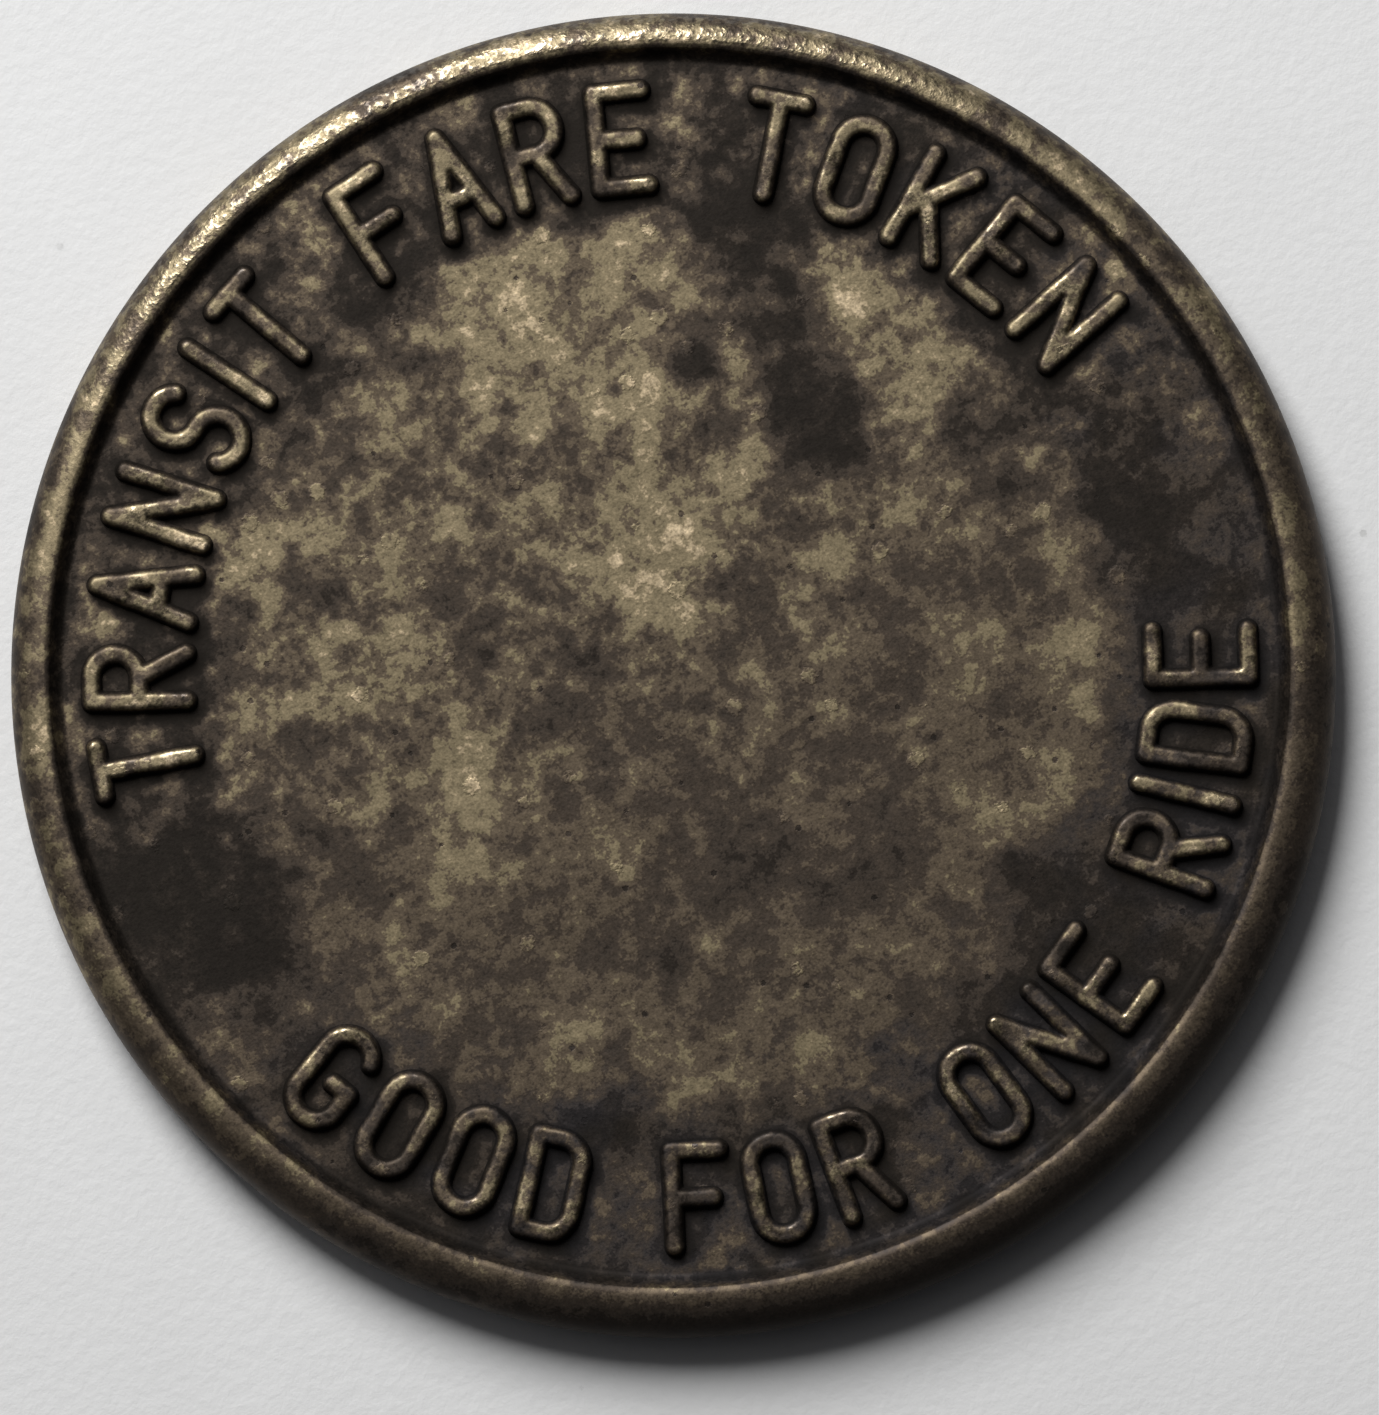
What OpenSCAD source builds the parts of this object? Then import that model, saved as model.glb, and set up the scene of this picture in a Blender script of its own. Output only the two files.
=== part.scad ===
// A struck brass fare token: a round disc with a raised rim on both faces, and
// raised capital letters in two arcs on each face.
//
// +Z is the token's axis and +Y the top of the lettering. The token lies flat,
// so z = 0 is the plane that the lower rim rests on, and the origin is the
// middle of that plane. The obverse faces +Z and the reverse faces -Z.

/* [Disc] */
// Outer diameter of the token
token_d = 25; // [23:0.5:32]
// Thickness over the two rims
token_t = 1.7; // [1.5:0.05:2.4]
// Radius of the rounding between each rim and the edge
edge_round = 0.45; // [0.1:0.05:0.45]

/* [Rim] */
// Width of the rim, from the top of its inner wall to the edge
rim_w = 0.8; // [0.75:0.05:1.2]
// Height of each rim above its field
rim_relief = 0.35; // [0.25:0.05:0.45]
// How far the rim's inner wall leans back over its height
rim_lean = 0.2; // [0.1:0.05:0.4]
// How far the dies struck off the middle of the blank, towards +Y
strike_offset = 0.15; // [0:0.05:0.25]

/* [Lettering] */
// Capital height, between the middles of the top and bottom strokes
cap_h = 1.8; // [1.4:0.1:2.2]
// Width of a stroke
stroke_w = 0.34; // [0.25:0.01:0.45]
// Height of the letters above the field
letter_relief = 0.25; // [0.1:0.01:0.3]
// Distance from the ends of the letters to the top of the rim's inner wall
letter_inset = 0.8; // [0.6:0.05:1]

/* [Legends] */
// Words along the top of the obverse
obverse_upper_words = "TRANSIT FARE TOKEN";
// Degrees that they fill
obverse_upper_span = 154; // [120:1:170]
// Words along the bottom of the obverse
obverse_lower_words = "GOOD FOR ONE RIDE";
// Degrees that they fill
obverse_lower_span = 136; // [110:1:150]
// Words along the top of the reverse
reverse_upper_words = "ONE FARE";
// Degrees that they fill
reverse_upper_span = 64; // [50:1:120]
// Words along the bottom of the reverse
reverse_lower_words = "NO CASH VALUE";
// Degrees that they fill
reverse_lower_span = 106; // [90:1:150]
// Height of the numeral in the middle of the reverse
numeral_h = 8; // [4:0.5:10]
// Width of the numeral's strokes
numeral_stroke = 1.1; // [0.6:0.1:1.4]

/* [Hidden] */
$fn = 64;

worn_brass = [0.44, 0.39, 0.30];
dark_brass = [0.27, 0.24, 0.19];

token_r = token_d / 2;
rim_inner_r = token_r - rim_w;
rim_foot_r = rim_inner_r - rim_lean;
obverse_field_z = token_t - rim_relief;
reverse_field_z = rim_relief;
letters_outer_r = rim_inner_r - letter_inset;
letters_inner_r = letters_outer_r - cap_h;
letters_middle_r = (letters_outer_r + letters_inner_r) / 2;

// Capitals are drawn on a grid 12 units tall and 6 wide, centred on x = 0.
GRID_H = 12;
LETTER_W = 6;
SPACE_W = 3.5;

function glyph_w(c) =
    c == "I" || c == "1" ? 0 :
    c == " " ? SPACE_W :
    LETTER_W;

// A stroke is a bar [x0, y0, x1, y1] or an arc [x, y, radius, from, to].
function glyph(c) =
    c == "A" ? [[-3, 0, 0, 12], [3, 0, 0, 12], [-2, 4, 2, 4]] :
    c == "C" ? [[0, 9, 3, 25, 180], [-3, 3, -3, 9], [0, 3, 3, 180, 335]] :
    c == "D" ? [[-3, 0, -3, 12], [-3, 12, 0, 12], [0, 9, 3, 0, 90], [3, 3, 3, 9],
                [0, 3, 3, 270, 360], [-3, 0, 0, 0]] :
    c == "E" ? [[-3, 0, -3, 12], [-3, 12, 3, 12], [-3, 6, 2, 6], [-3, 0, 3, 0]] :
    c == "F" ? [[-3, 0, -3, 12], [-3, 12, 3, 12], [-3, 6, 2, 6]] :
    c == "G" ? [[0, 9, 3, 25, 180], [-3, 3, -3, 9], [0, 3, 3, 180, 360], [3, 3, 3, 5.5],
                [0.5, 5.5, 3, 5.5]] :
    c == "H" ? [[-3, 0, -3, 12], [3, 0, 3, 12], [-3, 6, 3, 6]] :
    c == "I" ? [[0, 0, 0, 12]] :
    c == "K" ? [[-3, 0, -3, 12], [-3, 4, 3, 12], [-1, 6.5, 3, 0]] :
    c == "L" ? [[-3, 0, -3, 12], [-3, 0, 3, 0]] :
    c == "N" ? [[-3, 0, -3, 12], [-3, 12, 3, 0], [3, 0, 3, 12]] :
    c == "O" ? [[0, 9, 3, 0, 180], [-3, 3, -3, 9], [0, 3, 3, 180, 360], [3, 3, 3, 9]] :
    c == "R" ? [[-3, 0, -3, 12], [-3, 12, 0, 12], [0, 9, 3, -90, 90], [-3, 6, 0, 6],
                [0, 6, 3, 0]] :
    c == "S" ? [[0, 9, 3, 25, 270], [0, 3, 3, -155, 90]] :
    c == "T" ? [[0, 0, 0, 12], [-3, 12, 3, 12]] :
    c == "U" ? [[-3, 3, -3, 12], [0, 3, 3, 180, 360], [3, 3, 3, 12]] :
    c == "V" ? [[-3, 12, 0, 0], [3, 12, 0, 0]] :
    c == "1" ? [[0, 0, 0, 12], [-2.5, 9.5, 0, 12], [-2.5, 0, 2.5, 0]] :
    [];

function total_w(words, upto) =
    upto <= 0 ? 0 : glyph_w(words[upto - 1]) + total_w(words, upto - 1);

module bar(x0, y0, x1, y1, w, h) {
    length = norm([x1 - x0, y1 - y0]);
    translate([x0, y0, 0])
        rotate([0, 0, atan2(y1 - y0, x1 - x0)]) {
            translate([0, -w / 2, 0]) cube([length, w, h]);
            cylinder(d = w, h = h);
            translate([length, 0, 0]) cylinder(d = w, h = h);
        }
}

module arc(x, y, r, from, to, w, h) {
    translate([x, y, 0]) {
        rotate([0, 0, from])
            rotate_extrude(angle = to - from)
                translate([r - w / 2, 0]) square([w, h]);
        for (end = [from, to])
            rotate([0, 0, end]) translate([r, 0, 0]) cylinder(d = w, h = h);
    }
}

// One capital with its feet on y = 0 and its underside on z = 0.
module capital(c, height, w, h) {
    unit = height / GRID_H;
    for (s = glyph(c))
        if (len(s) == 4)
            bar(s[0] * unit, s[1] * unit, s[2] * unit, s[3] * unit, w, h);
        else
            arc(s[0] * unit, s[1] * unit, s[2] * unit, s[3], s[4], w, h);
}

// Words spread evenly over an arc centred on +Y, or on -Y when lower is true.
module legend(words, span, lower) {
    unit_angle = cap_h / GRID_H / letters_middle_r * 180 / PI;
    count = len(words);
    gap = (span - total_w(words, count) * unit_angle) / (count - 1);
    for (i = [0 : count - 1]) {
        along = (total_w(words, i) + glyph_w(words[i]) / 2) * unit_angle + gap * i - span / 2;
        if (lower)
            rotate([0, 0, along])
                translate([0, -letters_outer_r, 0])
                    capital(words[i], cap_h, stroke_w, letter_relief);
        else
            rotate([0, 0, -along])
                translate([0, letters_inner_r, 0])
                    capital(words[i], cap_h, stroke_w, letter_relief);
    }
}

// Put a piece that is drawn on z = 0 on one of the two fields, about the dies' axis.
module on_obverse() {
    translate([0, strike_offset, obverse_field_z]) children();
}

module on_reverse() {
    translate([0, strike_offset, reverse_field_z]) rotate([0, 180, 0]) children();
}

// Half of the plain blank's cross-section, with its outer corners rounded.
module blank_section() {
    square([token_r - edge_round, token_t]);
    translate([0, edge_round]) square([token_r, token_t - 2 * edge_round]);
    for (z = [edge_round, token_t - edge_round])
        translate([token_r - edge_round, z]) circle(r = edge_round);
}

// What a die presses down inside the rim. It runs on past the rim's top.
module recess() {
    cylinder(h = 2 * rim_relief, r1 = rim_foot_r, r2 = rim_foot_r + 2 * rim_lean, $fn = 180);
}

module struck_blank() {
    color(dark_brass)
        difference() {
            rotate_extrude($fn = 180) blank_section();
            on_obverse() recess();
            on_reverse() recess();
        }
}

module obverse_upper_legend() {
    color(worn_brass) on_obverse() legend(obverse_upper_words, obverse_upper_span, false);
}

module obverse_lower_legend() {
    color(worn_brass) on_obverse() legend(obverse_lower_words, obverse_lower_span, true);
}

module reverse_upper_legend() {
    color(worn_brass) on_reverse() legend(reverse_upper_words, reverse_upper_span, false);
}

module reverse_lower_legend() {
    color(worn_brass) on_reverse() legend(reverse_lower_words, reverse_lower_span, true);
}

module reverse_numeral() {
    color(worn_brass)
        on_reverse()
            translate([0, -numeral_h / 2, 0])
                capital("1", numeral_h, numeral_stroke, letter_relief);
}

struck_blank();
obverse_upper_legend();
obverse_lower_legend();
reverse_upper_legend();
reverse_lower_legend();
reverse_numeral();
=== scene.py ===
"""A struck brass fare token on white paper, seen from almost straight above.

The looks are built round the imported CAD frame. Lengths are in millimetres until a mesh is made,
and Blender's own values are in metres.
"""

import math

import bpy
import numpy as np
from mathutils import Matrix, Vector


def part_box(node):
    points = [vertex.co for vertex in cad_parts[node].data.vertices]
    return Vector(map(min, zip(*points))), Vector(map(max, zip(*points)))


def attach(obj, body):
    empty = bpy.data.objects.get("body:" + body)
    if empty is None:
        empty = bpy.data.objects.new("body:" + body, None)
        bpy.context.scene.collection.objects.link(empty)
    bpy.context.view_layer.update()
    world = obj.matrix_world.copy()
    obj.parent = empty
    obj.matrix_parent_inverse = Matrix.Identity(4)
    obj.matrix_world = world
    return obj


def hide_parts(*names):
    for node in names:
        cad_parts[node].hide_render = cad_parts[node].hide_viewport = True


MM = 0.001

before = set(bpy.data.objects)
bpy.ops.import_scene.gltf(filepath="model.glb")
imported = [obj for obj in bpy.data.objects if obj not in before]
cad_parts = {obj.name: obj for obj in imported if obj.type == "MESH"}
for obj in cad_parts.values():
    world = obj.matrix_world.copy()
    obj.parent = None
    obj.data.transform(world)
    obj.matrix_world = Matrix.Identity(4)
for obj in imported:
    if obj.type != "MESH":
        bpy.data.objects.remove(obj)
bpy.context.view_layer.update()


# ---------------------------------------------------------------- sizes from the frame


def cad_points(node):
    """A CAD node's vertices, in millimetres."""
    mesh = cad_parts[node].data
    points = np.empty(len(mesh.vertices) * 3)
    mesh.vertices.foreach_get("co", points)
    return points.reshape(-1, 3) / MM


def cad_triangles(node):
    """A CAD node's triangles, as vertex numbers."""
    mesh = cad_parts[node].data
    mesh.calc_loop_triangles()
    corners = np.empty(len(mesh.loop_triangles) * 3, int)
    mesh.loop_triangles.foreach_get("vertices", corners)
    return corners.reshape(-1, 3)


SAME_PLACE = 1e-3
blank_points = cad_points("struck_blank")
TOKEN_R = blank_points[:, 0].max()
TOKEN_T = blank_points[:, 2].max()
MIDDLE_Z = TOKEN_T / 2

# The dies struck a little off the blank's middle: the foot of the recess shows where.
FIELD_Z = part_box("obverse_upper_legend")[0].z / MM
LETTER_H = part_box("obverse_upper_legend")[1].z / MM - FIELD_Z
foot_ring = blank_points[abs(blank_points[:, 2] - FIELD_Z) < SAME_PLACE]
DIE_Y = (foot_ring[:, 1].max() + foot_ring[:, 1].min()) / 2
RIM_FOOT_R = (foot_ring[:, 1].max() - foot_ring[:, 1].min()) / 2
top_ring = blank_points[abs(blank_points[:, 2] - TOKEN_T) < SAME_PLACE]
RIM_INNER_R = np.hypot(top_ring[:, 0], top_ring[:, 1] - DIE_Y).min()
FIELD_H = FIELD_Z - MIDDLE_Z
RIM_RELIEF = TOKEN_T - FIELD_Z

OBVERSE = ["obverse_upper_legend", "obverse_lower_legend"]
REVERSE = ["reverse_upper_legend", "reverse_lower_legend", "reverse_numeral"]


# ---------------------------------------------------------------- small numeric helpers


def soft_min(a, b, blend):
    """The smaller of two heights, with the crease between them rounded over blend."""
    near = np.maximum(blend - abs(a - b), 0) / blend
    return np.minimum(a, b) - near * near * blend / 4


def soft_max(a, b, blend):
    """The larger of two heights, with the crease between them filled over blend."""
    return -soft_min(-a, -b, blend)


def smooth_step(low, high, value):
    """Zero at low and one at high, smooth between and level beyond. Either may be the larger."""
    t = np.clip((value - low) / (high - low), 0, 1)
    return t * t * (3 - 2 * t)


def value_noise(x, y, size, seed):
    """Smooth noise from -1 to 1, whose lumps are about size millimetres across."""
    period = 128
    lattice = np.random.default_rng(seed).uniform(-1, 1, (period, period))
    u, v = x / size, y / size
    i, j = np.floor(u).astype(int), np.floor(v).astype(int)
    fu, fv = u - i, v - j
    fu, fv = fu * fu * (3 - 2 * fu), fv * fv * (3 - 2 * fv)
    i, j, i1, j1 = i % period, j % period, (i + 1) % period, (j + 1) % period
    low = lattice[i, j] * (1 - fu) + lattice[i1, j] * fu
    high = lattice[i, j1] * (1 - fu) + lattice[i1, j1] * fu
    return low * (1 - fv) + high * fv


FIELD_WAVE = 0.012


def field_wave(x, y, seed):
    """How far the struck field stands off its plane: it was never quite flat."""
    lumps = 0.6 * value_noise(x, y, 2.2, seed) + 0.4 * value_noise(x, y, 0.8, seed + 1)
    return FIELD_WAVE * lumps


# Where years of handling rubbed the obverse brighter (plus) or left it dark (minus),
# about the dies' axis: (x, y, radius, strength).
TONES = [
    (1.0, 5.2, 5.0, 0.22),
    (-5.0, 3.0, 4.0, 0.10),
    (0.0, -5.0, 5.0, -0.12),
    (0.6, 7.7, 1.4, 0.5),
    (0.4, 6.5, 0.8, 0.5),
    (3.2, 7.2, 0.9, 0.8),
    (1.2, 5.0, 1.1, 0.5),
    (-0.4, 4.6, 0.8, 0.4),
    (1.1, 3.5, 0.9, 0.5),
    (1.3, 1.7, 1.2, 0.7),
    (0.5, 0.5, 0.7, 0.4),
    (2.6, 2.6, 0.7, 0.4),
    (6.2, 5.0, 0.8, 0.8),
    (7.1, 3.2, 1.1, 0.8),
    (7.5, -1.3, 0.6, 0.7),
    (6.9, -3.2, 0.8, 0.5),
    (6.3, -4.6, 0.9, 0.5),
    (4.6, -4.9, 0.9, 0.4),
    (3.4, -6.0, 0.8, 0.3),
    (-6.5, 5.5, 0.9, 0.8),
    (-5.6, 7.6, 1.0, 0.5),
    (-4.6, 5.0, 0.9, 0.4),
    (-4.0, 3.0, 0.9, 0.3),
    (-4.0, 0.8, 0.7, 0.5),
    (-4.8, -0.8, 1.2, 0.5),
    (-5.2, -2.6, 1.4, 0.3),
    (-7.0, -3.6, 0.9, 0.2),
    (-4.7, -5.6, 0.7, 0.5),
    (-6.6, -5.2, 0.6, 0.4),
    (-2.9, -7.0, 1.1, 0.6),
    (-0.7, -8.2, 0.8, 0.6),
    (0.6, -1.0, 0.9, 0.2),
    (-9.8, -4.7, 0.9, 0.9),
    (-10.5, -2.5, 0.7, 0.7),
    (4.8, 5.5, 0.95, -1.6),
    (5.0, 6.8, 1.0, -1.5),
    (4.7, 3.0, 0.95, -1.7),
    (3.0, 5.1, 0.65, -1.3),
    (3.6, 4.1, 0.5, -0.3),
    (3.1, 1.9, 0.5, -0.3),
    (-2.6, 8.1, 1.0, -0.5),
    (-3.6, 7.3, 0.7, -0.4),
    (-6.9, 3.6, 0.7, -0.5),
    (-6.6, 1.4, 0.8, -0.7),
    (-7.5, 0.8, 0.6, -0.4),
    (-2.7, 2.6, 0.6, -0.5),
    (-1.6, 4.3, 0.7, -0.4),
    (-10.1, 0.2, 1.35, -1.3),
    (-9.7, -1.4, 1.0, -1.1),
    (-8.3, -0.4, 0.5, -0.5),
    (0.9, -4.8, 1.0, -0.7),
    (-0.3, -4.2, 0.8, -0.5),
    (2.3, -4.1, 0.5, -0.4),
    (0.3, -2.2, 0.6, -0.3),
    (5.6, -0.8, 0.5, -0.4),
    (6.8, 1.6, 0.5, -0.6),
    (7.3, 0.1, 0.6, -0.6),
    (6.8, -1.3, 0.4, -0.4),
    (4.6, -6.8, 0.9, -1.0),
    (-4.6, -6.9, 0.7, -1.0),
    (-4.0, -5.9, 0.4, -0.8),
    (9.0, -1.0, 1.1, -0.6),
    (9.4, -3.0, 1.2, -0.5),
    (7.6, -6.2, 0.9, -0.6),
    (5.9, -8.1, 1.0, -0.7),
    (3.5, -9.4, 1.1, -0.8),
]


DARKEST_TONE = -1.35
LIGHTEST_TONE = 1.1


def tone_map(x, y, up):
    """The broad lighter and darker patches. The unseen reverse has them mirrored."""
    bend = 0.35
    warped_x = x * up + bend * value_noise(x, y, 0.7, 71)
    warped_y = y + bend * value_noise(x, y, 0.7, 72)
    total = np.zeros_like(x)
    for at_x, at_y, radius, strength in TONES:
        away = ((warped_x - at_x) ** 2 + (warped_y - at_y) ** 2) / radius**2
        total += strength * np.exp(-0.7 * away**2)
    return np.clip(total, DARKEST_TONE, LIGHTEST_TONE)


def cold_map(x, y, up):
    """Where the dark tarnish is blue rather than brown: round the foot of the design."""
    from_middle = np.hypot(x, y)
    low_band = smooth_step(6.5, 8.5, from_middle) * smooth_step(-1.5, -6.0, y)
    right_band = 0.6 * smooth_step(8.0, 9.0, from_middle) * smooth_step(5.0, 9.0, x * up)
    return np.maximum(low_band, right_band)


# ---------------------------------------------------------------- the letters' outlines

# The letters are worked out on square cells, and their distances up to REACH from an outline.
CELL = 0.03
REACH = 0.6
GRID = (np.arange(int(2 * RIM_FOOT_R / CELL) + 1) - int(RIM_FOOT_R / CELL)) * CELL


def outline(node, top_z):
    """The edges round a node's flat letter tops, one row (x0, y0, x1, y1) each."""
    places, number = np.unique(cad_points(node).round(3), axis=0, return_inverse=True)
    triangles = number.ravel()[cad_triangles(node)]
    tops = triangles[(abs(places[triangles, 2] - top_z) < 0.01).all(axis=1)]
    sides = np.concatenate([tops[:, [0, 1]], tops[:, [1, 2]], tops[:, [2, 0]]])
    sides, uses = np.unique(np.sort(sides, axis=1), axis=0, return_counts=True)
    rims = sides[uses == 1]
    edges = np.concatenate([places[rims[:, 0], :2], places[rims[:, 1], :2]], axis=1)
    edges[:, [1, 3]] -= DIE_Y
    return edges


def distance_grid(edges):
    """On GRID by GRID: the distance to the nearest edge, plus inside a letter, and that edge's point."""
    count = len(GRID)
    distance = np.full((count, count), REACH)
    nearest = np.zeros((count, count, 2))
    inside = np.zeros((count, count), bool)
    for x0, y0, x1, y1 in edges:
        left, right = np.searchsorted(GRID, [min(x0, x1) - REACH, max(x0, x1) + REACH])
        low, high = np.searchsorted(GRID, [min(y0, y1) - REACH, max(y0, y1) + REACH])
        window = (slice(low, high), slice(left, right))
        x, y = np.meshgrid(GRID[left:right], GRID[low:high])
        dx, dy = x1 - x0, y1 - y0
        along = np.clip(((x - x0) * dx + (y - y0) * dy) / (dx * dx + dy * dy), 0, 1)
        at = np.stack([x0 + along * dx, y0 + along * dy], axis=-1)
        away = np.hypot(x - at[..., 0], y - at[..., 1])
        closer = away < distance[window]
        distance[window][closer] = away[closer]
        nearest[window][closer] = at[closer]
        rows = (GRID > min(y0, y1)) & (GRID <= max(y0, y1))
        if rows.any():
            crossing = x0 + (GRID[rows] - y0) * dx / dy
            inside[rows] ^= GRID[None, :] > crossing[:, None]
    return np.where(inside, distance, -distance), nearest


class Face:
    """One struck face. up is 1 where it looks along +Z and -1 where it looks along -Z."""

    def __init__(self, up, nodes, seed):
        self.up = up
        self.seed = seed
        top_z = MIDDLE_Z + up * (FIELD_H + LETTER_H)
        self.grids = {node: distance_grid(outline(node, top_z)) for node in nodes}
        self.signed = np.maximum.reduce([signed for signed, _ in self.grids.values()])

    def outside(self, x, y):
        """The distance from each place on the field to the nearest letter, up to REACH."""
        u = np.clip((x - GRID[0]) / CELL, 0, len(GRID) - 1.001)
        v = np.clip((y - GRID[0]) / CELL, 0, len(GRID) - 1.001)
        i, j = u.astype(int), v.astype(int)
        fu, fv = u - i, v - j
        low = self.signed[j, i] * (1 - fu) + self.signed[j, i + 1] * fu
        high = self.signed[j + 1, i] * (1 - fu) + self.signed[j + 1, i + 1] * fu
        return -(low * (1 - fv) + high * fv)


# ---------------------------------------------------------------- meshes

# Each mesh carries these layers, one number per point, and the brass is shaded from them:
# relief    how far it stands up, from 0 on the field to 1 on a letter's or the rim's top
# crevice  how much grime the place holds, plus painted shadow below the letters and painted shade on the
# rim's side away from the key light
# tone      the broad patches, lighter above 0 and darker below; on the rim, painted shade on the side away from the key light
# cold      how blue the dark tarnish is
# band      1 on the ring of field that the letters stand on, which is dirtier
# polish  how much handling has burnished it, and on the rim painted light on the side facing the key light
# lively    how strong the mottling is


def make_mesh(name, points, faces, layers):
    """A smooth mesh object from millimetre points, with one number per point in each layer."""
    mesh = bpy.data.meshes.new(name)
    mesh.from_pydata((points * MM).tolist(), [], faces)
    for layer, values in layers.items():
        attribute = mesh.attributes.new(layer, "FLOAT", "POINT")
        attribute.data.foreach_set("value", values.astype(np.float32))
    mesh.shade_smooth()
    mesh.update()
    made = bpy.data.objects.new(name, mesh)
    bpy.context.scene.collection.objects.link(made)
    return made


# A letter's section: it spreads FOOT_FLARE past its outline and is full height SHOULDER inside it.
FOOT_FLARE = 0.05
SHOULDER = 0.17
SQUARENESS = 2.4
FOOT_SINK = 0.05
FLOOR_SINK = 0.09

RAGGED_EDGE = 0.012
TOP_WEAR = 0.07


def bead_height(signed):
    """The rounded section of a struck letter, from its foot to its top."""
    down = np.clip((SHOULDER - signed) / (SHOULDER + FOOT_FLARE), 0, 1)
    return LETTER_H * np.cos(math.pi / 2 * down**SQUARENESS)


def without_corner_touches(cells):
    """Fills cells until no two of them meet at a corner only, which would pinch the mesh."""
    cells = cells.copy()
    while True:
        a, b, c, d = cells[:-1, :-1], cells[:-1, 1:], cells[1:, :-1], cells[1:, 1:]
        rising = a & d & ~b & ~c
        falling = b & c & ~a & ~d
        if not (rising.any() or falling.any()):
            return cells
        cells[:-1, 1:] |= rising
        cells[:-1, :-1] |= falling


def make_letters(name, face, node):
    """The raised letters of one CAD legend: closed shells whose feet are just under the field."""
    signed, nearest = face.grids[node]
    middles = (signed[:-1, :-1] + signed[1:, :-1] + signed[:-1, 1:] + signed[1:, 1:]) / 4
    cells = without_corner_touches(middles > -FOOT_FLARE)
    around = np.pad(cells, 1)
    corners = [around[:-1, :-1], around[1:, :-1], around[:-1, 1:], around[1:, 1:]]
    used = np.logical_or.reduce(corners)
    on_edge = used & ~np.logical_and.reduce(corners)
    number = np.cumsum(used.ravel()).reshape(used.shape) - 1
    count = used.sum()

    x, y = np.meshgrid(GRID, GRID)
    away = np.stack([x, y], axis=-1) - nearest
    away /= np.maximum(np.linalg.norm(away, axis=-1, keepdims=True), 1e-9)
    foot = nearest + away * FOOT_FLARE
    x = np.where(on_edge, foot[..., 0], x)[used]
    y = np.where(on_edge, foot[..., 1], y)[used]
    edge = on_edge[used]

    ragged = RAGGED_EDGE * value_noise(x, y, 0.35, face.seed + 5)
    height = bead_height(signed[used] + ragged)
    height *= 1 - TOP_WEAR * (1 + value_noise(x, y, 0.5, face.seed + 6))
    wave = field_wave(x, y, face.seed)
    top = FIELD_H + wave + np.where(edge, -FOOT_SINK, height)
    under = np.full(count, FIELD_H - FLOOR_SINK)
    points = np.concatenate(
        [
            np.stack([x, y + DIE_Y, MIDDLE_Z + face.up * top], axis=1),
            np.stack([x, y + DIE_Y, MIDDLE_Z + face.up * under], axis=1),
        ]
    )

    rows, columns = np.nonzero(cells)
    ring = [(0, 0), (0, 1), (1, 1), (1, 0)]
    tops = np.stack([number[rows + j, columns + i] for j, i in ring], axis=1)
    faces = [tops, tops[:, ::-1] + count]
    beyond = [(-1, 0), (0, 1), (1, 0), (0, -1)]
    for side, (step_j, step_i) in enumerate(beyond):
        open_side = ~around[rows + 1 + step_j, columns + 1 + step_i]
        a, b = tops[open_side, side], tops[open_side, (side + 1) % 4]
        faces.append(np.stack([b, a, a + count, b + count], axis=1))
    faces = np.concatenate(faces)
    if face.up < 0:
        faces = faces[:, ::-1]

    share = height / LETTER_H
    rubbed = value_noise(x, y, 0.7, face.seed + 7)
    duller_below = 0.5 * smooth_step(0, -6, y)
    layers = {
        "relief": np.where(edge, 0, share),
        "crevice": np.where(edge, 1, 1 - smooth_step(0.3, 0.88, share)),
        "tone": 0.4 * tone_map(x, y, face.up) - duller_below,
        "cold": cold_map(x, y, face.up),
        "band": np.zeros(count),
        "polish": smooth_step(0.7, 0.95, share) * smooth_step(-0.1, 0.5, rubbed),
        "lively": np.full(count, 1.5),
    }
    layers = {layer: np.tile(values, 2) for layer, values in layers.items()}
    return make_mesh(name, points, faces.tolist(), layers)


# The blank is rings of points: each is about an axis between the blank's own and the dies'.
SEGMENTS = 480
CREST_BLEND = 0.05
FOOT_BLEND = 0.14
WAVE_FADE = 1.0
FIELD_MARGIN = 0.3
NICK_DEPTH = 0.015
LETTER_RING_R = 8.4

# Painted shadow: the field just below each letter, on the side away from the key light, is darkened as a
# cast shadow. Painted light: the rim is painted brighter, and made glossier, on the side facing the key
# light.
PAINTED_SHADOW_SHIFT = 0.16
KEY_FACING_SIDE = math.radians(81)


def ring_plan():
    """The rings of one half from the middle out: radius, and share of the way over the rim."""
    plain_field = np.linspace(0.2, LETTER_RING_R, 40)
    lettered_field = np.linspace(LETTER_RING_R + 0.15, RIM_FOOT_R - 0.17, 22)
    field = np.concatenate([plain_field, lettered_field])
    wall = np.linspace(RIM_FOOT_R - 0.1, RIM_INNER_R, 14)
    over_rim = np.sin(np.linspace(0, math.pi / 2, 20)[1:]) ** 0.85
    over = np.concatenate([np.zeros(len(field) + len(wall)), over_rim])
    on_rim = RIM_INNER_R + (TOKEN_R - RIM_INNER_R) * over_rim
    return np.concatenate([field, wall, on_rim]), over[:, None]


def rim_height(x, y):
    """The domed rim as a height above the middle plane. Where it is narrow its shoulder is squarer."""
    from_axis = np.maximum(np.hypot(x, y), 1e-6)
    width = TOKEN_R - RIM_INNER_R - DIE_Y * y / from_axis
    power = 1.6 + 0.75 / width
    out = np.clip(1 - (TOKEN_R - from_axis) / width, 0, 1)
    return MIDDLE_Z * (1 - out**power) ** (1 / power)


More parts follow.
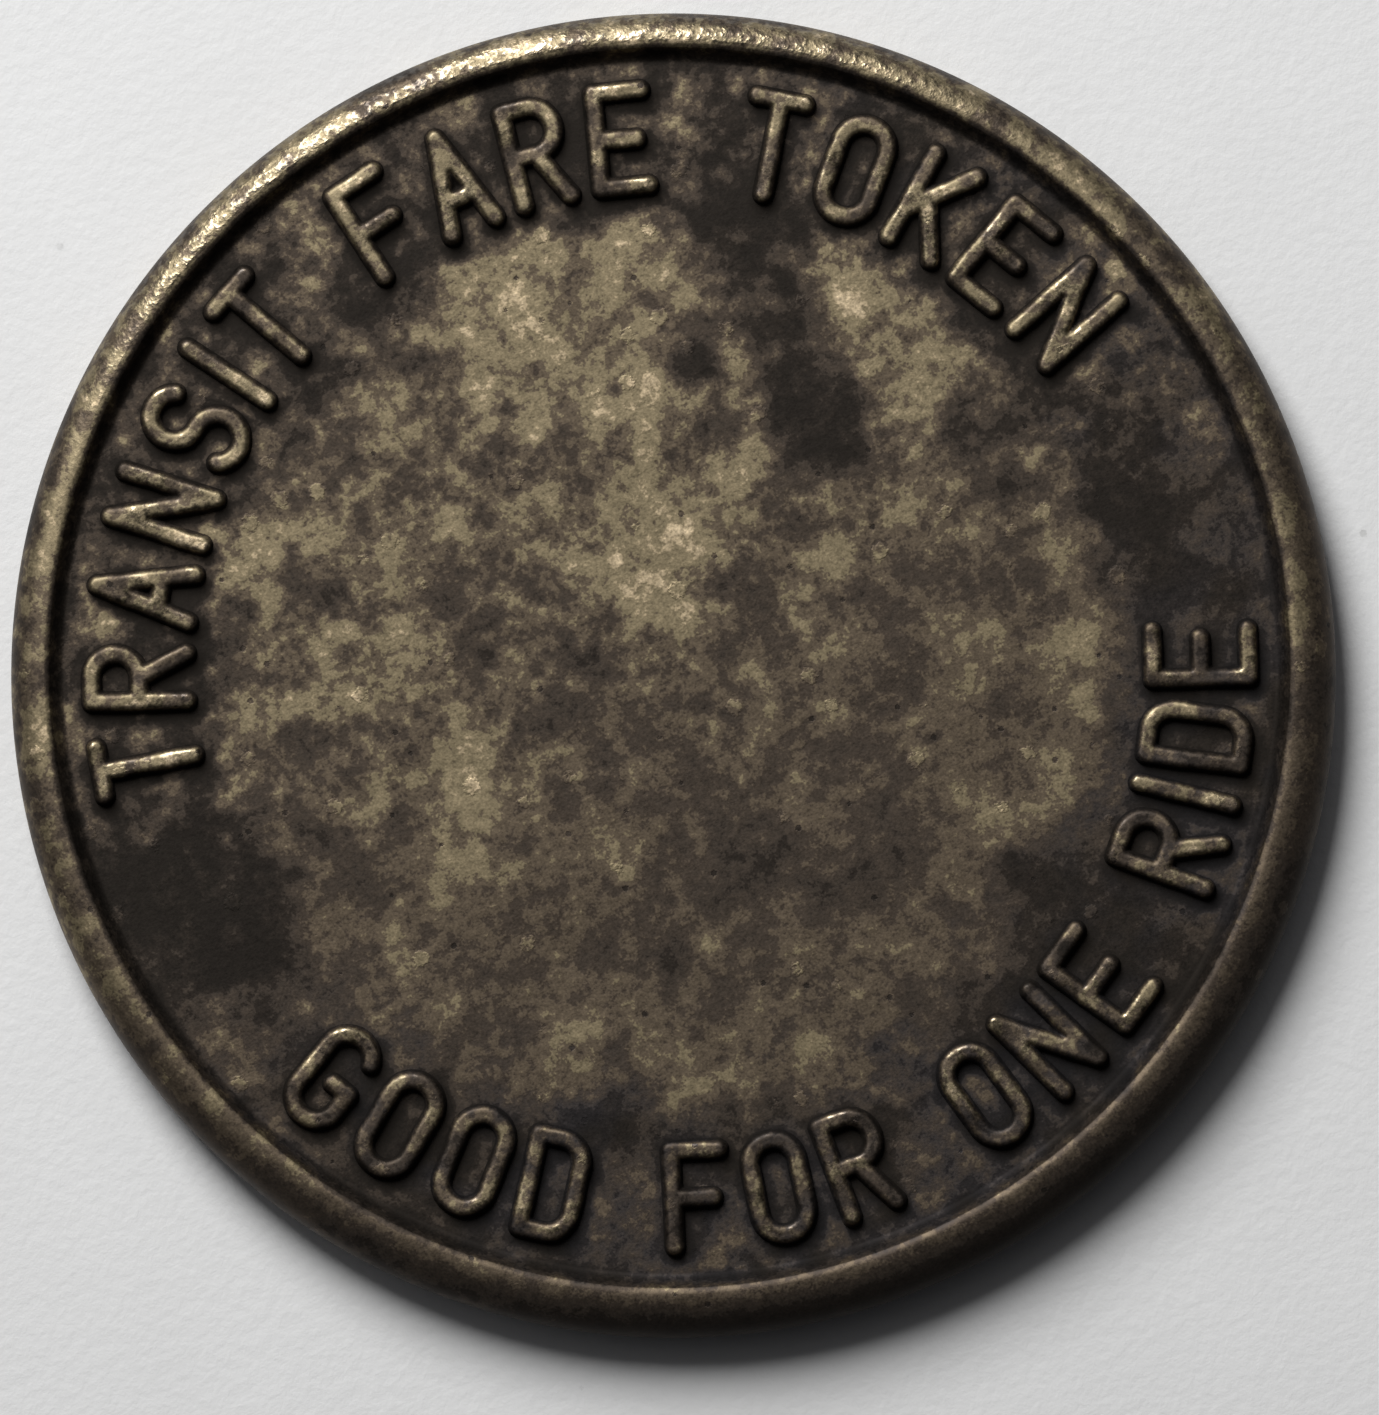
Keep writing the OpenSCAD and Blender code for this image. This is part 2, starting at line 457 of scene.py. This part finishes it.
def blank_layers(face, x, y, angles, over, relief):
    """The layers of one half of the blank, ring by ring as half_blank lays them out."""
    from_die = np.hypot(x, y - DIE_Y)
    on_field = 1 - smooth_step(RIM_FOOT_R - FIELD_MARGIN, RIM_FOOT_R, from_die)
    inside_rim = np.where(over == 0, 1.0, 0 * x)
    # 0 on the side facing the key light and 1 on the side away from it.
    away_from_key = 0.5 - 0.5 * np.sin(angles)
    patchiness = 0.7 + 0.3 * value_noise(x, y, 0.6, face.seed + 9)
    at_foot = np.exp(-((np.clip(face.outside(x, y - DIE_Y), 0, REACH) / 0.07) ** 2))
    # Painted shadow: the field below each letter, away from the key light, is darkened like a cast shadow.
    painted_letter_shadow = np.exp(-((np.clip(face.outside(x, y - DIE_Y + PAINTED_SHADOW_SHIFT), 0, REACH) / 0.14) ** 2))
    letter_grime_and_shadow = np.maximum(0.6 * at_foot, painted_letter_shadow) * on_field
    at_rim_foot = np.exp(-(((from_die - RIM_FOOT_R) / 0.12) ** 2)) * inside_rim
    # Grime round the rim's foot, with painted shade added on the side away from the key light.
    rim_foot_grime_and_shade = (0.3 + 0.4 * away_from_key) * at_rim_foot
    # Painted shade: the rim is darkened, and its mottling calmed, on the side away from the key light, most
    # on its outer slope.
    painted_rim_shade = away_from_key**3 * (1 - inside_rim)
    painted_edge_shade = 0.6 * painted_rim_shade * smooth_step(0.2, 0.7, over)
    band = smooth_step(LETTER_RING_R - 0.5, LETTER_RING_R + 0.4, from_die) * inside_rim
    # Painted light: on the rim the polish, which also brightens the colour, sits only on the side facing
    # the key light.
    facing_key_light = smooth_step(0.45, 0.9, np.cos(angles - KEY_FACING_SIDE))
    livelier_above = 0.85 + 0.5 * smooth_step(-3.0, 3.5, y)
    return {
        "relief": relief,
        "crevice": np.maximum(patchiness * np.maximum(letter_grime_and_shadow, rim_foot_grime_and_shade), painted_edge_shade),
        "tone": tone_map(x, y - DIE_Y, face.up) * inside_rim - 0.5 * painted_rim_shade,
        "cold": cold_map(x, y - DIE_Y, face.up) * inside_rim,
        "band": band,
        "polish": smooth_step(0.02, 0.25, over) * smooth_step(1.0, 0.7, over) * facing_key_light,
        "lively": livelier_above * (1 - 0.6 * painted_rim_shade + 0.3 * band),
    }


def half_blank(face):
    """Points and layers of one half of the blank, ring by ring from the middle out to the edge."""
    radii, over = ring_plan()
    angles = np.arange(SEGMENTS) * 2 * math.pi / SEGMENTS
    x = radii[:, None] * np.cos(angles)
    y = radii[:, None] * np.sin(angles) + (1 - over) * DIE_Y
    from_die = np.hypot(x, y - DIE_Y)
    wall = (from_die - RIM_FOOT_R) / (RIM_INNER_R - RIM_FOOT_R) * RIM_RELIEF
    inner_height = FIELD_H + soft_max(0 * wall, wall, FOOT_BLEND)
    height = soft_min(inner_height, rim_height(x, y), CREST_BLEND)
    height[-1] = 0
    wavy = 1 - smooth_step(RIM_FOOT_R - WAVE_FADE, RIM_FOOT_R, from_die)
    height += field_wave(x, y - DIE_Y, face.seed) * wavy

    off_field = smooth_step(RIM_FOOT_R - FIELD_MARGIN, RIM_FOOT_R, from_die)
    relief = np.clip((height - FIELD_H) / RIM_RELIEF, 0, 1) * off_field
    nicks = 0.5 + 0.5 * value_noise(angles * TOKEN_R, radii[:, None] * 1.5, 0.5, face.seed + 8)
    height -= NICK_DEPTH * nicks * relief * (height > 0.5 * FIELD_H)
    points = np.stack([x, y, MIDDLE_Z + face.up * height], axis=-1)
    middle = np.array([[0, DIE_Y, MIDDLE_Z + face.up * FIELD_H]])
    return points, middle, blank_layers(face, x, y, angles, over, relief)


def make_blank(name, faces):
    """The disc and its two rims as one closed mesh."""
    rings, middles, layers = zip(*(half_blank(face) for face in faces), strict=True)
    per_half = rings[0].shape[0]
    under_rings = per_half - 1  # the ring round the middle of the edge is shared
    points = np.concatenate([rings[0].reshape(-1, 3), rings[1][:-1].reshape(-1, 3), *middles])
    first_middle = (per_half + under_rings) * SEGMENTS

    ahead = (np.arange(SEGMENTS) + 1) % SEGMENTS
    here = np.arange(SEGMENTS)
    quads = []
    order = list(range(per_half)) + [per_half + k for k in reversed(range(under_rings))]
    for inner, outer in zip(order[:-1], order[1:], strict=True):
        a, b = inner * SEGMENTS, outer * SEGMENTS
        quads.append(np.stack([a + here, b + here, b + ahead, a + ahead], axis=1))
    under_start = per_half * SEGMENTS
    top_fan = np.stack([np.full(SEGMENTS, first_middle), here, ahead], axis=1)
    under_fan = np.stack(
        [np.full(SEGMENTS, first_middle + 1), under_start + ahead, under_start + here], axis=1
    )
    polygons = np.concatenate(quads).tolist() + top_fan.tolist() + under_fan.tolist()
    joined = {}
    for layer in layers[0]:
        top, under = layers[0][layer], layers[1][layer][:-1]
        joined[layer] = np.concatenate([top.ravel(), under.ravel(), [top[0, 0], under[0, 0]]])
    return make_mesh(name, points, polygons, joined)


# ---------------------------------------------------------------- materials


def add(tree, kind, inputs=None, **settings):
    """Adds a node; each input is a plain value or the output socket that feeds it."""
    node = tree.nodes.new("ShaderNode" + kind)
    for key, value in settings.items():
        setattr(node, key, value)
    for key, value in (inputs or {}).items():
        if isinstance(value, bpy.types.NodeSocket):
            tree.links.new(value, node.inputs[key])
        else:
            node.inputs[key].default_value = value
    return node


def math_node(tree, operation, first, second=0.0, clamp=False):
    """The output of one Math node."""
    return add(tree, "Math", {0: first, 1: second}, operation=operation, use_clamp=clamp).outputs[0]


def weighted_sum(tree, terms, start):
    """start plus each weight times its socket."""
    total = start
    for weight, socket in terms:
        inputs = {0: socket, 1: weight, 2: total}
        total = add(tree, "Math", inputs, operation="MULTIPLY_ADD").outputs[0]
    return total


def map_range(tree, value, low, high, to_low=0.0, to_high=1.0):
    """value carried from low..high to to_low..to_high, and held at the ends."""
    inputs = {"Value": value, "From Min": low, "From Max": high, "To Min": to_low, "To Max": to_high}
    return add(tree, "MapRange", inputs).outputs[0]


def scale_colour(tree, colour, factor):
    """A colour or vector times one number."""
    return add(tree, "VectorMath", {0: colour, "Scale": factor}, operation="SCALE").outputs[0]


def place_socket(tree):
    """The place on the object, in millimetres."""
    object_place = add(tree, "TexCoord").outputs["Object"]
    return add(tree, "Mapping", {"Vector": object_place, "Scale": (1 / MM,) * 3}).outputs["Vector"]


def noise_socket(tree, place, size, detail, roughness=0.55, distortion=0.0):
    """Noise about 0.5, with lumps about size millimetres across."""
    inputs = {
        "Vector": place,
        "Scale": 1 / size,
        "Detail": detail,
        "Roughness": roughness,
        "Distortion": distortion,
    }
    return add(tree, "TexNoise", inputs).outputs["Fac"]


def ramp(tree, factor, stops):
    """A colour ramp with (position, colour) stops."""
    node = add(tree, "ValToRGB", {"Fac": factor})
    elements = node.color_ramp.elements
    while len(elements) < len(stops):
        elements.new(0.5)
    for element, (position, colour) in zip(elements, stops, strict=True):
        element.position = position
        element.color = (*colour, 1)
    return node.outputs["Color"]


# Tarnish from the darkest to bare metal, in steps: old brass goes in patches, not in a smooth fade.
PATINA = [
    (0.00, (0.024, 0.020, 0.0165)),
    (0.20, (0.036, 0.029, 0.0235)),
    (0.24, (0.056, 0.045, 0.036)),
    (0.41, (0.077, 0.060, 0.046)),
    (0.44, (0.113, 0.088, 0.063)),
    (0.55, (0.140, 0.109, 0.076)),
    (0.575, (0.212, 0.173, 0.108)),
    (0.76, (0.276, 0.224, 0.139)),
    (0.79, (0.385, 0.306, 0.196)),
    (1.00, (0.720, 0.580, 0.385)),
]


def speck_socket(tree, place, spacing, radius, rarity):
    """One on scattered irregular specks, else zero. rarity is the share of places left empty."""
    wobble = add(tree, "TexNoise", {"Vector": place, "Scale": 2 / radius, "Detail": 2.0}).outputs["Color"]
    bent = scale_colour(tree, wobble, 1.2 * radius)
    moved = add(tree, "VectorMath", {0: place, 1: bent}, operation="ADD").outputs[0]
    cells = add(tree, "TexVoronoi", {"Vector": moved, "Scale": 1 / spacing})
    share = radius / spacing
    speck = map_range(tree, cells.outputs["Distance"], 0.8 * share, 1.1 * share, 1.0, 0.0)
    chosen = math_node(tree, "GREATER_THAN", cells.outputs["Color"], rarity)
    return math_node(tree, "MULTIPLY", speck, chosen)


def patina_brass(name, cleanliness, dent_depth):
    """Old struck brass: grime and painted shade in the recesses, mottled on the field, rubbed bright on
    what stands up, and painted brighter where the rim faces the key light.
    """
    material = bpy.data.materials.new(name)
    material.use_nodes = True
    tree = material.node_tree
    shader = tree.nodes["Principled BSDF"]
    place = place_socket(tree)
    layer = {}
    for key in ("relief", "crevice", "tone", "cold", "band", "polish", "lively"):
        layer[key] = add(tree, "Attribute", attribute_name=key).outputs["Fac"]

    broad = noise_socket(tree, place, 1.7, 2, 0.5, 0.3)
    patches = noise_socket(tree, place, 0.75, 3, 0.55)
    islands = noise_socket(tree, place, 0.3, 3, 0.55)
    mottle = noise_socket(tree, place, 0.13, 3, 0.6)
    grain = noise_socket(tree, place, 0.05, 1, 0.5)
    hammered = noise_socket(tree, place, 0.14, 2, 0.5)
    dents = math_node(tree, "MULTIPLY", hammered, layer["polish"])
    # Where the rim faces the key light, the shine also lifts the colour: painted highlight as well as real
    # gloss.
    shine_and_painted_glint = math_node(tree, "MULTIPLY", map_range(tree, hammered, 0.46, 0.60), layer["polish"])
    pits = speck_socket(tree, place, 0.45, 0.06, 0.72)
    crusts = speck_socket(tree, place, 0.8, 0.16, 0.62)

    lumps = weighted_sum(tree, [(0.50, broad), (0.75, patches), (0.55, islands), (0.22, mottle)], -1.01)
    level = weighted_sum(
        tree,
        [
            (0.22, layer["tone"]),
            (1.0, math_node(tree, "MULTIPLY", lumps, layer["lively"])),
            (0.12, grain),
            (0.12, layer["relief"]),
            (-0.50, layer["crevice"]),
            (-0.155, layer["band"]),
            (0.06, layer["polish"]),
            (0.12, shine_and_painted_glint),
            (-0.25, pits),
            (0.13, crusts),
        ],
        cleanliness - 0.06,
    )
    level = math_node(tree, "ADD", level, 0.0, clamp=True)
    shade = weighted_sum(tree, [(0.7, mottle), (0.7, grain)], 0.30)
    shaded = scale_colour(tree, ramp(tree, level, PATINA), shade)
    dark = map_range(tree, level, 0.2, 0.45, 1.0, 0.0)
    in_places = map_range(tree, broad, 0.42, 0.58)
    blue = math_node(tree, "MULTIPLY", math_node(tree, "MULTIPLY", dark, layer["cold"]), in_places)
    tint = ramp(tree, blue, [(0.0, (1.0, 1.0, 1.0)), (1.0, (0.90, 0.99, 1.20))])
    tinted = add(tree, "VectorMath", {0: shaded, 1: tint}, operation="MULTIPLY").outputs[0]
    tree.links.new(tinted, shader.inputs["Base Color"])

    rough = weighted_sum(
        tree,
        [(-0.22, shine_and_painted_glint), (-0.10, level), (0.16, grain), (0.16, mottle), (0.30, layer["crevice"])],
        0.44,
    )
    tree.links.new(rough, shader.inputs["Roughness"])
    tree.links.new(map_range(tree, level, 0.05, 0.5, 0.85, 1.0), shader.inputs["Metallic"])
    shader.inputs["Specular IOR Level"].default_value = 0.2
    tree.links.new(math_node(tree, "MULTIPLY", shine_and_painted_glint, 0.5), shader.inputs["Coat Weight"])
    shader.inputs["Coat Roughness"].default_value = 0.25

    height = weighted_sum(
        tree,
        [
            (0.35, mottle),
            (0.35, islands),
            (0.08, grain),
            (dent_depth, dents),
            (-0.3, pits),
            (0.3, crusts),
        ],
        0.0,
    )
    bump = add(tree, "Bump", {"Strength": 0.5, "Distance": 0.03 * MM, "Height": height})
    tree.links.new(bump.outputs["Normal"], shader.inputs["Normal"])
    return material


# The paper's colour by shade: grey bits, then the sheet itself, which is never quite even.
PAPER = [
    (0.0, (0.60, 0.60, 0.59)),
    (0.3, (0.76, 0.76, 0.755)),
    (0.7, (0.80, 0.80, 0.795)),
]


def paper(name):
    """Matt white paper with the faintest tooth and a few grey bits."""
    material = bpy.data.materials.new(name)
    material.use_nodes = True
    tree = material.node_tree
    shader = tree.nodes["Principled BSDF"]
    shader.inputs["Roughness"].default_value = 0.9
    shader.inputs["Specular IOR Level"].default_value = 0.2
    place = place_socket(tree)
    clouds = noise_socket(tree, place, 6.0, 4, 0.6)
    fibres = noise_socket(tree, place, 0.25, 3, 0.6)
    bits = math_node(tree, "MULTIPLY", speck_socket(tree, place, 1.6, 0.08, 0.5), fibres)
    shade = weighted_sum(tree, [(1.0, clouds), (-0.7, bits)], 0.0)
    tree.links.new(ramp(tree, shade, PAPER), shader.inputs["Base Color"])
    bump = add(tree, "Bump", {"Strength": 0.4, "Distance": 0.05 * MM, "Height": fibres})
    tree.links.new(bump.outputs["Normal"], shader.inputs["Normal"])
    return material


# ---------------------------------------------------------------- the token


def place_piece(piece, node, material):
    """Puts a finished mesh in a CAD node's place."""
    piece.data.materials.append(material)
    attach(piece, "root")
    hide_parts(node)


def make_token():
    """The blank with its two rims, and each legend standing on it."""
    obverse = Face(1, OBVERSE, 11)
    reverse = Face(-1, REVERSE, 41)
    field_brass = patina_brass("tarnished_brass", 0.435, 2.2)
    letter_brass = patina_brass("rubbed_brass", 0.41, 0.3)
    blank = make_blank("token_blank", [obverse, reverse])
    place_piece(blank, "struck_blank", field_brass)
    for face in (obverse, reverse):
        for node in face.grids:
            letters = make_letters("raised_" + node, face, node)
            place_piece(letters, node, letter_brass)


# ---------------------------------------------------------------- stage, light and camera

# How far the picture is turned, as the angle of its upright from the token's own.
PICTURE_TURN = math.radians(-26)

# The key light comes from this side of the picture, at this height.
KEY_SIDE = math.radians(117)
KEY_ELEVATION = math.radians(48.5)


def in_picture(right, up, toward):
    """A direction or place given in the picture's right, up and toward-the-viewer, in the token's frame."""
    c, s = math.cos(PICTURE_TURN), math.sin(PICTURE_TURN)
    return Vector((right * c - up * s, right * s + up * c, toward))


def make_floor(half_size):
    """A sheet of paper that the token lies on, half_size metres from its middle to each side."""
    points = [(-1, -1, 0), (1, -1, 0), (1, 1, 0), (-1, 1, 0)]
    mesh = bpy.data.meshes.new("paper_floor")
    mesh.from_pydata([(x * half_size, y * half_size, z) for x, y, z in points], [], [(0, 1, 2, 3)])
    floor = bpy.data.objects.new("paper_floor", mesh)
    bpy.context.scene.collection.objects.link(floor)
    mesh.materials.append(paper("white_paper"))


def make_key_light():
    """One soft oval lamp, aimed at the token."""
    lamp = bpy.data.lights.new("key", "AREA")
    lamp.shape = "ELLIPSE"
    lamp.size = 0.088
    lamp.size_y = 0.134
    lamp.energy = 0.445
    distance = 0.20
    target = Vector((0, 0, TOKEN_T * MM))
    toward_key = in_picture(math.cos(KEY_SIDE), math.sin(KEY_SIDE), math.tan(KEY_ELEVATION))
    holder = bpy.data.objects.new("key", lamp)
    bpy.context.scene.collection.objects.link(holder)
    holder.location = toward_key.normalized() * distance
    holder.rotation_mode = "QUATERNION"
    holder.rotation_quaternion = (target - holder.location).to_track_quat("-Z", "Y")


def make_world():
    """A dim room whose only brightness is the soft spread round the key light."""
    world = bpy.data.worlds.new("studio")
    bpy.context.scene.world = world
    world.use_nodes = True
    tree = world.node_tree
    direction = add(tree, "TexCoord").outputs["Generated"]
    low_key = in_picture(math.cos(KEY_SIDE), math.sin(KEY_SIDE), 0.6).normalized()
    facing = add(tree, "VectorMath", {0: direction, 1: tuple(low_key)}, operation="DOT_PRODUCT")
    sky = [(0.0, (0.017, 0.017, 0.018)), (0.5, (0.038, 0.038, 0.040)), (1.0, (0.42, 0.42, 0.43))]
    colour = ramp(tree, facing.outputs["Value"], sky)
    tree.links.new(colour, tree.nodes["Background"].inputs["Color"])
    tree.nodes["Background"].inputs["Strength"].default_value = 1.0


def make_camera():
    """Almost straight above, leaning a touch towards the picture's lower right."""
    lean = math.radians(1.5)
    side = math.radians(-65)
    sensor_width = 36
    toward = in_picture(math.cos(side) * math.sin(lean), math.sin(side) * math.sin(lean), math.cos(lean))
    distance = 0.30
    view_height = 26.63 * MM
    centre = in_picture(0.315 * MM, -0.63 * MM, TOKEN_T * MM)
    camera = bpy.data.cameras.new("camera")
    camera.sensor_width = sensor_width
    camera.lens = sensor_width * distance / view_height
    camera.clip_start = 0.01
    camera.clip_end = 10
    holder = bpy.data.objects.new("camera", camera)
    bpy.context.scene.collection.objects.link(holder)
    right = in_picture(0, 1, 0).cross(toward).normalized()
    turned = Matrix([right, toward.cross(right), toward]).transposed()
    holder.location = centre + toward * distance
    holder.rotation_mode = "QUATERNION"
    holder.rotation_quaternion = turned.to_quaternion()
    bpy.context.scene.camera = holder


make_token()
make_floor(3.0)
make_world()
make_key_light()
make_camera()
bpy.context.scene.view_settings.view_transform = "Standard"
